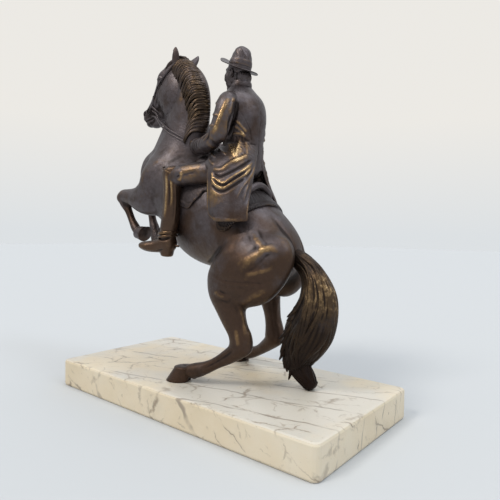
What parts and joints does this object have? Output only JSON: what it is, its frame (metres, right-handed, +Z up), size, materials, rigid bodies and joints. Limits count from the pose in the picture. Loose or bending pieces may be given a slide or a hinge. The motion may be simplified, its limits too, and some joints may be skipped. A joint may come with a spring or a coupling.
{
  "type": "equestrian statuette",
  "caption": "Bronze statuette of a rearing horse and its rider in a long coat and a soft hat, on a rectangular marble plinth",
  "frame": {"origin": "the middle of the plinth's underside", "axes": "+Z up; the horse looks along -X; the horse's left, or near, side is towards -Y"},
  "size_m": [0.348, 0.17, 0.391],
  "materials": {
    "bronze": "chocolate-brown patinated cast bronze, rubbed to gold on the high places",
    "marble": "polished cream marble with grey-brown veins"
  },
  "bodies": {
    "root": {"horse_and_rider": "bronze", "marble_plinth": "marble"}
  },
  "joints": []
}
